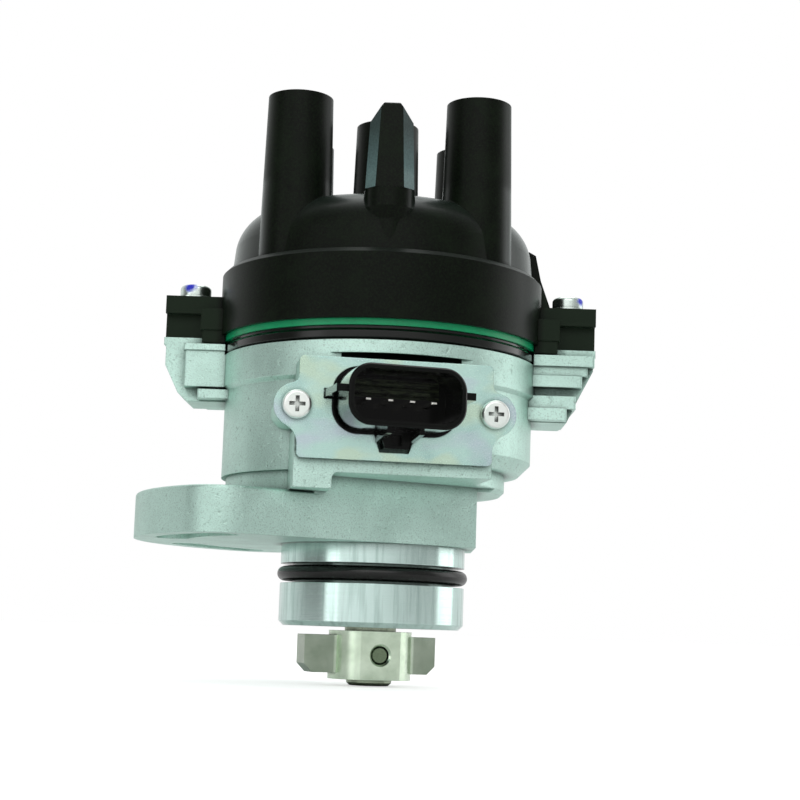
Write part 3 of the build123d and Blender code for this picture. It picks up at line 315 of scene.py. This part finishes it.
def castAluminium(values):
    paint = Paint("castAluminium", Metallic=1.0)
    grain = noise(paint, values["grain"])
    pits = noise(paint, values["pits"])
    cast = laid(paint, values["pale"], noise(paint, values["patches"]), values["patches"])
    cast = laid(paint, cast, grain, values["grain"])
    cast = laid(paint, cast, pits, values["pits"])
    lines = noise(paint, values["turning"])
    turned = laid(paint, values["machined"], lines, values["turning"])
    # painted reflection streaks on the turned surface
    turned = laid(paint, turned, noise(paint, values["reflectionStreaks"]), values["reflectionStreaks"])
    z = axisOf(paint, "Z", paint.place)
    machined = step(paint, z, *values["machinedFrom"])
    # painted shade darkens the corners
    colour = shadeCorners(paint, blendColour(paint, machined, cast, turned), values["grime"])
    notch = values["notch"]
    # painted shade: near black in the notch over the connector's plate
    notchShade = within(z, *notch["heights"]) * (along(paint, notch["turn"]) > notch["from"])
    notchShade = notchShade * (offAxis(paint) < notch["radius"])
    polish = machined * (values["polish"] - values["unevenness"] * lines)
    height = (grain + step(paint, pits, *values["pitDepth"])) * (1 - machined)
    edges = softEdges(paint, values["edgeRadius"])
    rough = bump(paint, height, values["grainHeight"], edges)
    paint.feed(
        Base_Color=blendColour(paint, notchShade, colour, notch["colour"]),
        Roughness=values["roughness"] + values["unevenness"] * grain - polish,
        Normal=bump(paint, lines, values["turningHeight"], rough),
    )
    return paint


# Small metal pieces: what all of them share, and then each slot's own values
metalwork = {
    "brushing": {"detail": 3, "rough": 0.6},
    "height": 0.003 * mm,
    "stains": {"size": 8.3 * mm, "detail": 4, "rough": 0.6, "shows": (0.4, 0.7), "strength": 0.7},
    # painted shade in the corners of the small metal pieces
    "grime": {
        "reach": 1.2 * mm, "open": (0.35, 0.85),
        "strength": 0.85, "colour": rgb(30, 34, 30),
    },
    "edgeRadius": 0.15 * mm,
}
metals = {
    "zinc_screws": {
        "colour": rgb(250, 255, 250),
        "stained": rgb(228, 242, 234),
        "roughness": (0.26, 0.46),
        "grain": {"size": 0.5 * mm},
    },
    "tinned_pins": {
        "colour": rgb(250, 250, 244),
        "stained": rgb(232, 234, 226),
        "roughness": (0.1, 0.2),
        "grain": {"size": 0.33 * mm},
        # no painted shade on the pins
        "grime": {**metalwork["grime"], "strength": 0.0},
    },
    "electrode_alloy": {
        "colour": rgb(214, 216, 216),
        "stained": rgb(180, 184, 184),
        "roughness": (0.3, 0.5),
        "grain": {"size": 0.5 * mm},
    },
    "spring_steel": {
        "colour": rgb(176, 176, 172),
        "stained": rgb(140, 140, 136),
        "roughness": (0.3, 0.5),
        "grain": {"size": 0.33 * mm},
    },
    "bearing_steel": {
        "colour": rgb(208, 210, 212),
        "stained": rgb(184, 188, 192),
        "roughness": (0.1, 0.22),
        "grain": {"size": 0.33 * mm},
    },
    "cage_steel": {
        "colour": rgb(180, 178, 170),
        "stained": rgb(150, 148, 140),
        "roughness": (0.35, 0.55),
        "grain": {"size": 0.5 * mm},
    },
    "bronze": {
        "colour": rgb(196, 150, 96),
        "stained": rgb(150, 106, 62),
        "roughness": (0.42, 0.62),
        "grain": {"size": 0.33 * mm},
    },
    "shaft_steel": {
        "colour": rgb(200, 212, 188),
        "stained": rgb(160, 172, 148),
        "roughness": (0.18, 0.38),
        "grain": {"size": 0.25 * mm, "stretch": (0.02, 0.02, 1)},
    },
    "disc_steel": {
        "colour": rgb(186, 190, 194),
        "stained": rgb(160, 164, 168),
        "roughness": (0.25, 0.45),
        "grain": {"size": 0.5 * mm},
    },
    "brass_blade": {
        "colour": rgb(226, 190, 112),
        "stained": rgb(190, 150, 80),
        "roughness": (0.25, 0.45),
        "grain": {"size": 0.5 * mm},
    },
}


def brightMetal(name, values):
    values = {**metalwork, **values}
    paint = Paint(name, Metallic=1.0)
    brushed = noise(paint, {**values["brushing"], **values["grain"]})
    stains = noise(paint, values["stains"])
    metal = laid(paint, values["colour"], stains, values["stains"], values["stained"])
    edges = softEdges(paint, values["edgeRadius"])
    paint.feed(
        # painted shade darkens the corners
        Base_Color=shadeCorners(paint, metal, values["grime"]),
        Roughness=between(paint, (brushed + stains) / 2, *values["roughness"]),
        Normal=bump(paint, brushed, values["height"], edges),
    )
    return paint


# Cross pin through the coupling
pin = {
    "colour": rgb(132, 150, 122),
    "stained": rgb(104, 120, 96),
    "roughness": (0.2, 0.35),
    "grain": {"size": 0.25 * mm},
}

# The coupling's barrel is turned bright, and its tangs stay as they were sintered
coupling = {
    "colour": rgb(238, 255, 232),
    "stained": rgb(190, 212, 184),
    "roughness": (0.16, 0.32),
    "grain": {"size": 0.4 * mm},
    "height": 0.006 * mm,
    "tangsFrom": (11.2 * mm, 11.8 * mm),
    "dulled": 0.5,
}


def turnedCoupling(values):
    paint = brightMetal("turnedCoupling", values)
    tangs = step(paint, offAxis(paint), *values["tangsFrom"])
    metal = paint.fed("Base_Color")
    paint.feed(Base_Color=blendColour(paint, tangs, metal, grey(values["dulled"]), "MULTIPLY"))
    return paint


# A dab of blue paint on each of the cap's screws shows that it is tight
screws = {
    "colour": rgb(240, 252, 245),
    "stained": rgb(214, 230, 222),
    "roughness": (0.1, 0.3),
    "grain": {"size": 0.5 * mm},
    "dab": rgb(20, 40, 214),
    "ragged": {"size": 1.11 * mm, "detail": 3, "rough": 0.6},
    "raggedBy": 2 * mm,
    "blur": 1.2 * mm,
    "dullness": 0.2,
    "left": {"place": (3.9 * mm, -3.2 * mm, -0.8 * mm), "size": 1.9 * mm},  # from the left end
    "right": {"place": (-1.6 * mm, -2.6 * mm, -1.0 * mm), "size": 1.6 * mm},  # from the right end
}


def markedScrews(values):
    paint = brightMetal("markedScrews", values)
    metal = paint.fed("Base_Color")
    low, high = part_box("cap_screws")
    ragged = noise(paint, values["ragged"]) * values["raggedBy"]
    dabs = 0
    for side, end in (("left", low[0]), ("right", high[0])):
        size = values[side]["size"]
        corner = Vector((end, (low[1] + high[1]) / 2, high[2]))
        centre = corner + Vector(values[side]["place"])
        apart = paint.node(
            "ShaderNodeVectorMath", {"operation": "DISTANCE"}, {0: paint.place, 1: centre}, "Value"
        )
        dabs = dabs + step(paint, apart + ragged, size + values["blur"], size)
    paint.feed(
        Base_Color=blendColour(paint, dabs, metal, values["dab"]),
        Roughness=paint.fed("Roughness") + values["dullness"] * dabs,
        Metallic=1 - dabs,
    )
    return paint


# Zinc plating on the connector's plate, with its faint rainbow
plating = {
    "zinc": rgb(204, 240, 230),
    "clouds": {
        "size": 9 * mm, "detail": 3, "rough": 0.5,
        "shows": (0.4, 0.65), "strength": 1.0, "colour": rgb(184, 220, 212),
    },
    "rainbow": {"size": 11.25 * mm, "detail": 2, "rough": 0.4, "stretch": (1, 1, 1.6)},
    "lilac": {"shows": (0.52, 0.68), "strength": 0.55, "colour": rgb(212, 218, 236)},
    "straw": {"shows": (0.46, 0.34), "strength": 0.5, "colour": rgb(222, 240, 206)},
    "scratches": {"size": 0.5 * mm, "detail": 3, "rough": 0.7},
    "scratched": (0.55, 0.75),
    "roughness": 0.16,
    "cloudiness": 0.16,
    "scuffing": 0.1,
    "height": 0.006 * mm,
    "waviness": 6,  # the clouds' height against the scratches'
    # painted shade in the plate's corners, with a shorter reach
    "grime": {**casting["grime"], "reach": 1.6 * mm, "open": (0.35, 0.85)},
    "edgeRadius": 0.25 * mm,
}


def zincPlating(values):
    paint = Paint("zincPlate", Metallic=1.0)
    clouds = noise(paint, values["clouds"])
    rainbow = noise(paint, values["rainbow"])
    scratches = noise(paint, values["scratches"])
    colour = laid(paint, values["zinc"], clouds, values["clouds"])
    colour = laid(paint, colour, rainbow, values["lilac"])
    colour = laid(paint, colour, rainbow, values["straw"])
    scuffed = values["scuffing"] * step(paint, scratches, *values["scratched"])
    height = scratches + values["waviness"] * clouds
    paint.feed(
        # painted shade darkens the corners
        Base_Color=shadeCorners(paint, colour, values["grime"]),
        Roughness=values["roughness"] + values["cloudiness"] * clouds + scuffed,
        Normal=bump(paint, height, values["height"], softEdges(paint, values["edgeRadius"])),
    )
    return paint


# Glass-filled phenolic of the cap: near black, faintly green, paler where it is seen at a slant
capMoulding = {
    "black": rgb(5, 8, 4),
    "fibres": {
        "size": 0.5 * mm, "detail": 4, "rough": 0.7,
        "shows": (0.42, 0.72), "strength": 0.75, "colour": rgb(20, 33, 17),
    },
    "mottle": {
        "size": 9 * mm, "detail": 3, "rough": 0.6,
        "shows": (0.5, 0.72), "strength": 0.4, "colour": rgb(20, 33, 17),
    },
    "dust": {"shows": (0.25, 0.95), "strength": 0.35, "colour": rgb(34, 44, 38)},  # painted top light: paler where a surface faces up
    # painted reflection: a paler colour beyond the skirt, on the mounting lugs
    "ears": {"shows": (43.5 * mm, 45 * mm), "strength": 0.8, "colour": rgb(32, 45, 32)},
    "grainHeight": 0.018 * mm,
    "roughness": 0.32,
    "unevenness": 0.16,
    "specular": 0.1,
    "coatRoughness": 0.24,
    "coatTint": rgb(226, 250, 244),
    "coatIor": 1.55,
    "slant": (0.2, 0.8),  # where the coat's gloss starts and is full
    "domeFoot": (72.3 * mm, 73.3 * mm),
    "domeTop": (93.6 * mm, 91.6 * mm),
    "rubbed": 0.35,  # gloss of the skirt and towers against the dome's
    "edgeRadius": 0.35 * mm,
}


def capPlastic(name, values):
    paint = Paint(
        name,
        Specular_IOR_Level=values["specular"],
        Coat_Roughness=values["coatRoughness"],
        Coat_IOR=values["coatIor"],
        Coat_Tint=values["coatTint"],
    )
    fibres = noise(paint, values["fibres"])
    mottle = noise(paint, values["mottle"])
    colour = laid(paint, values["black"], fibres, values["fibres"])
    colour = laid(paint, colour, mottle, values["mottle"])
    # painted top light: a paler colour where the surface faces up
    colour = laid(paint, colour, facing(paint, "Z"), values["dust"])
    z = axisOf(paint, "Z", paint.place)
    dome = step(paint, z, *values["domeFoot"]) * step(paint, z, *values["domeTop"])
    gloss = step(paint, glancing(paint), *values["slant"]) * between(paint, dome, values["rubbed"], 1)
    edges = softEdges(paint, values["edgeRadius"])
    paint.feed(
        # painted reflection on the mounting lugs
        Base_Color=laid(paint, colour, offAxis(paint), values["ears"]),
        Roughness=values["roughness"] + values["unevenness"] * mottle,
        Coat_Weight=gloss,
        Normal=bump(paint, fibres, values["grainHeight"], edges),
    )
    return paint


# Vent hood: the cap's moulding, with a painted reflection on its side facets, strongest low down
hood = {
    **capMoulding,
    "coatIor": 2.2,
    "slant": (0.2, 0.4),
    "flank": rgb(98, 126, 126),
    "sideways": (0.45, 0.75),
    "flankFoot": (104 * mm, 92 * mm),
    "highUp": 0.3,
    "patchiness": 0.3,
    "strength": 1.1,
}


def hoodPlastic(values):
    paint = capPlastic("hoodPlastic", values)
    lowDown = step(paint, axisOf(paint, "Z", paint.place), *values["flankFoot"])
    # painted reflection: a pale colour on the side facets
    facetGlare = step(paint, abs(facing(paint, "X")), *values["sideways"])
    facetGlare = facetGlare * between(paint, lowDown, values["highUp"], 1)
    facetGlare = facetGlare * (noise(paint, values["fibres"]) + values["patchiness"]) * values["strength"]
    paint.feed(Base_Color=blendColour(paint, facetGlare, paint.fed("Base_Color"), values["flank"]))
    return paint


# Matt mouldings: what all of them share, and then each slot's own values
moulding = {
    "haze": {"size": 22.2 * mm, "detail": 4, "rough": 0.6, "shows": (0.42, 0.72), "strength": 0.5},
    "haziness": 0.12,
    "grain": {"size": 0.38 * mm, "detail": 3, "rough": 0.6},
    "specular": 0.25,
    "edgeRadius": 0.3 * mm,
}
mouldings = {
    "connector_plastic": {
        "colour": rgb(9, 11, 9),
        "dusty": rgb(22, 26, 22),
        "roughness": 0.1,
        "grainHeight": 0.004 * mm,
    },
    "rotor_plastic": {
        "colour": rgb(92, 48, 30),
        "dusty": rgb(112, 64, 42),
        "roughness": 0.35,
        "grainHeight": 0.02 * mm,
    },
    "carbon": {
        "colour": rgb(40, 40, 42),
        "dusty": rgb(60, 60, 62),
        "roughness": 0.4,
        "grainHeight": 0.01 * mm,
    },
}


def mouldedPlastic(name, values):
    values = {**moulding, **values}
    paint = Paint(name, Specular_IOR_Level=values["specular"])
    haze = noise(paint, values["haze"])
    edges = softEdges(paint, values["edgeRadius"])
    paint.feed(
        Base_Color=laid(paint, values["colour"], haze, values["haze"], values["dusty"]),
        Roughness=values["roughness"] + values["haziness"] * haze,
        Normal=bump(paint, noise(paint, values["grain"]), values["grainHeight"], edges),
    )
    return paint


# Rubber of the seals and the gasket: what both share, and then each slot's own values
rubberSkin = {
    "pores": {"size": 0.33 * mm, "detail": 3, "rough": 0.6},
    "rubbed": {"size": 3.3 * mm, "detail": 3, "rough": 0.6},
    "wear": {"shows": (0.9, 1.3), "strength": 0.6},
    "porosity": 0.12,
    "poreDepth": 0.008 * mm,
    "specular": 0.4,
}
rubbers = {
    "green_gasket": {
        "colour": rgb(0, 158, 100),
        "worn": rgb(12, 128, 84),
        "roughness": 0.26,
    },
    "black_rubber": {
        "colour": rgb(7, 9, 7),
        "worn": rgb(24, 28, 22),
        "roughness": 0.2,
    },
}


def rubber(name, values):
    values = {**rubberSkin, **values}
    paint = Paint(name, Specular_IOR_Level=values["specular"])
    pores = noise(paint, values["pores"])
    wear = pores + noise(paint, values["rubbed"])
    paint.feed(
        Base_Color=laid(paint, values["colour"], wear, values["wear"], values["worn"]),
        Roughness=values["roughness"] + values["porosity"] * pores,
        Normal=bump(paint, pores, values["poreDepth"]),
    )
    return paint


# Glossy black moulding of the dust cover
dustCover = {
    "colour": rgb(9, 12, 8),
    "dusty": rgb(18, 22, 17),
    "haze": {"size": 11.1 * mm, "detail": 4, "rough": 0.6, "shows": (0.45, 0.7), "strength": 0.5},
    "flow": {"size": 2 * mm, "detail": 3, "rough": 0.6},
    "flowHeight": 0.01 * mm,
    "roughness": 0.14,
    "haziness": 0.1,
    "specular": 0.4,
    "coatRoughness": 0.1,
    "coatIor": 1.6,
    "slant": (0.3, 0.7),
    "edgeRadius": 0.3 * mm,
}


def glossyPlastic(name, values):
    paint = Paint(
        name,
        Specular_IOR_Level=values["specular"],
        Coat_Roughness=values["coatRoughness"],
        Coat_IOR=values["coatIor"],
    )
    haze = noise(paint, values["haze"])
    edges = softEdges(paint, values["edgeRadius"])
    paint.feed(
        Base_Color=laid(paint, values["colour"], haze, values["haze"], values["dusty"]),
        Roughness=values["roughness"] + values["haziness"] * haze,
        Coat_Weight=step(paint, glancing(paint), *values["slant"]),
        Normal=bump(paint, noise(paint, values["flow"]), values["flowHeight"], edges),
    )
    return paint


# Connector's moulding, with painted light in a paler olive on the ledges inside its socket
connector = {
    **dustCover,
    "colour": rgb(7, 9, 7),
    "dusty": rgb(20, 24, 20),
    "roughness": 0.1,
    "specular": 0.15,
    "resin": rgb(12, 18, 10),
    "streaks": {
        "size": 2 * mm, "detail": 3, "rough": 0.7, "stretch": (0.6, 0.6, 3),
        "shows": (0.38, 0.62), "strength": 1.0, "colour": rgb(50, 60, 40),
    },
    "turn": math.radians(16),
    "mouth": 54.5 * mm,
    "middle": -8.1 * mm,
    "halfWidth": 11.5 * mm,
    "heights": (34.0 * mm, 38.6 * mm),
}


def socketPlastic(values):
    paint = glossyPlastic("socketPlastic", values)
    sideways = along(paint, values["turn"] + math.pi / 2) - values["middle"]
    inside = within(axisOf(paint, "Z", paint.place), *values["heights"])
    inside = inside * (along(paint, values["turn"]) < values["mouth"])
    inside = inside * (abs(sideways) < values["halfWidth"])
    streaks = noise(paint, values["streaks"])
    # painted light: a paler olive in streaks on the ledges inside the socket
    resin = laid(paint, values["resin"], streaks, values["streaks"])
    paint.feed(Base_Color=blendColour(paint, inside, paint.fed("Base_Color"), resin))
    return paint


def dress(name, paint):
    mesh = nodes[name].data
    mesh.materials.clear()
    mesh.materials.append(paint.material)


slotFinishes = {
    "cast_aluminium": castAluminium(casting),
    "cap_plastic": capPlastic("capPlastic", capMoulding),
    "zinc_plate": zincPlating(plating),
}
for slot, values in metals.items():
    slotFinishes[slot] = brightMetal(camelCase(slot), values)
for slot, values in mouldings.items():
    slotFinishes[slot] = mouldedPlastic(camelCase(slot), values)
for slot, values in rubbers.items():
    slotFinishes[slot] = rubber(camelCase(slot), values)

nodeFinishes = {
    "cap_screws": markedScrews(screws),
    "drive_coupling": turnedCoupling(coupling),
    "coupling_pin": brightMetal("pinSteel", pin),
    "dust_cover": glossyPlastic("dustCoverPlastic", dustCover),
    "connector_shell": socketPlastic(connector),
    "vent_hood": hoodPlastic(hood),
}
for part in frame["record"]["subparts"]:
    name = part["node"]
    dress(name, nodeFinishes[name] if name in nodeFinishes else slotFinishes[part["material_slot"]])
print("finishes given to", len(nodes), "nodes")


# Studio: a white floor in a white room, lit from the left, the front, the right and above.
# Lamps stand in metres, and their powers are in watts.
lamps = {
    "window": {"place": (-1.1, -0.95, 0.3), "size": (0.45, 1.1), "power": 1.15},
    "front": {"place": (0.1, -1.6, 1.0), "size": (1.6, 0.9), "power": 5},
    "right": {"place": (1.35, 0.35, 0.4), "size": (0.8, 1.2), "power": 3.0},
    "top": {"place": (0.0, 0.3, 1.4), "size": (1.2, 1.0), "power": 5},
}
lampTarget = (0, 0, 40 * mm)
room = {
    "around": [  # what shiny surfaces see: from straight behind, through the left, and back again
        (0.0, 0.78),
        (0.1, 0.72),
        (0.18, 0.72),
        (0.26, 0.22),
        (0.32, 0.12),
        (0.36, 0.8),
        (0.42, 0.95),
        (0.5, 0.8),
        (0.56, 0.66),
        (0.64, 0.44),
        (0.75, 0.38),
        (0.83, 0.7),
        (1.0, 0.8),
    ],
    "fill": 0.55,  # what matt surfaces see
    "backdrop": 1.0,  # what the camera sees
}
sweep = {
    "drop": 0.2 * mm,  # below the object
    "reach": 6.0,
    "shade": 0.86,
    "clouds": {"size": 330 * mm, "detail": 2, "rough": 0.55},
    "cloudiness": 0.1,
    "roughness": 0.9,
    "glow": 0.56,  # for the camera alone
}


def makeLamp(name, values):
    data = bpy.data.lights.new(name, "AREA")
    data.shape = "RECTANGLE"
    data.size, data.size_y = values["size"]
    data.energy = values["power"]
    made = bpy.data.objects.new(name, data)
    bpy.context.collection.objects.link(made)
    made.location = values["place"]
    made.rotation_euler = (Vector(lampTarget) - made.location).to_track_quat("-Z", "Y").to_euler()


def ramp(graph, value, stops):  # a grey for each place along the way
    made = graph.node("ShaderNodeValToRGB", values={0: value})
    elements = made.socket.node.color_ramp.elements
    while len(elements) < len(stops):
        elements.new(1.0)
    for element, (position, shade) in zip(elements, stops):
        element.position = position
        element.color = grey(shade)
    return made


def makeRoom(values):
    world = bpy.data.worlds.new("whiteRoom")
    bpy.context.scene.world = world
    world.use_nodes = True
    world.node_tree.nodes.clear()
    graph = Graph(world.node_tree)
    place = graph.node("ShaderNodeTexCoord", output="Generated")
    towardsFront = axisOf(graph, "Y", place) * -1
    turn = axisOf(graph, "X", place).maths("ARCTAN2", towardsFront) / (2 * math.pi) + 0.5
    path = "ShaderNodeLightPath"
    light = ramp(graph, turn, values["around"])
    light = blendColour(graph, graph.node(path, output="Is Diffuse Ray"), light, grey(values["fill"]))
    light = blendColour(
        graph, graph.node(path, output="Is Camera Ray"), light, grey(values["backdrop"])
    )
    shown = graph.node("ShaderNodeBackground", values={"Color": light})
    graph.node("ShaderNodeOutputWorld", values={"Surface": shown})


def floorPaint(values):
    paint = Paint("paleFloor", Roughness=values["roughness"], Emission_Strength=values["glow"])
    clouds = noise(paint, values["clouds"]) * values["cloudiness"]
    paint.feed(
        Base_Color=blendColour(paint, clouds, grey(values["shade"]), grey(1)),
        Emission_Color=paint.node("ShaderNodeLightPath", output="Is Camera Ray"),
    )
    fromBelow = paint.node("ShaderNodeNewGeometry", output="Backfacing")
    clear = paint.node("ShaderNodeBsdfTransparent")
    solid = Signal(paint, paint.shader.outputs[0])
    surface = paint.node("ShaderNodeMixShader", values={0: fromBelow, 1: solid, 2: clear})
    paint.tree.links.new(surface.socket, paint.tree.nodes["Material Output"].inputs["Surface"])
    return paint


def makeFloor(values):
    reach = values["reach"]
    height = cadBox[0][2] - values["drop"]
    corners = [(-reach, -reach), (reach, -reach), (reach, reach), (-reach, reach)]
    mesh = bpy.data.meshes.new("floor")
    mesh.from_pydata([(x, y, height) for x, y in corners], [], [(0, 1, 2, 3)])
    mesh.materials.append(floorPaint(values).material)
    floor = bpy.data.objects.new("floor", mesh)
    bpy.context.collection.objects.link(floor)


bpy.context.scene.view_settings.view_transform = "Standard"
for name, values in lamps.items():
    makeLamp(name + "Light", values)
makeRoom(room)
makeFloor(sweep)
print("studio lit")
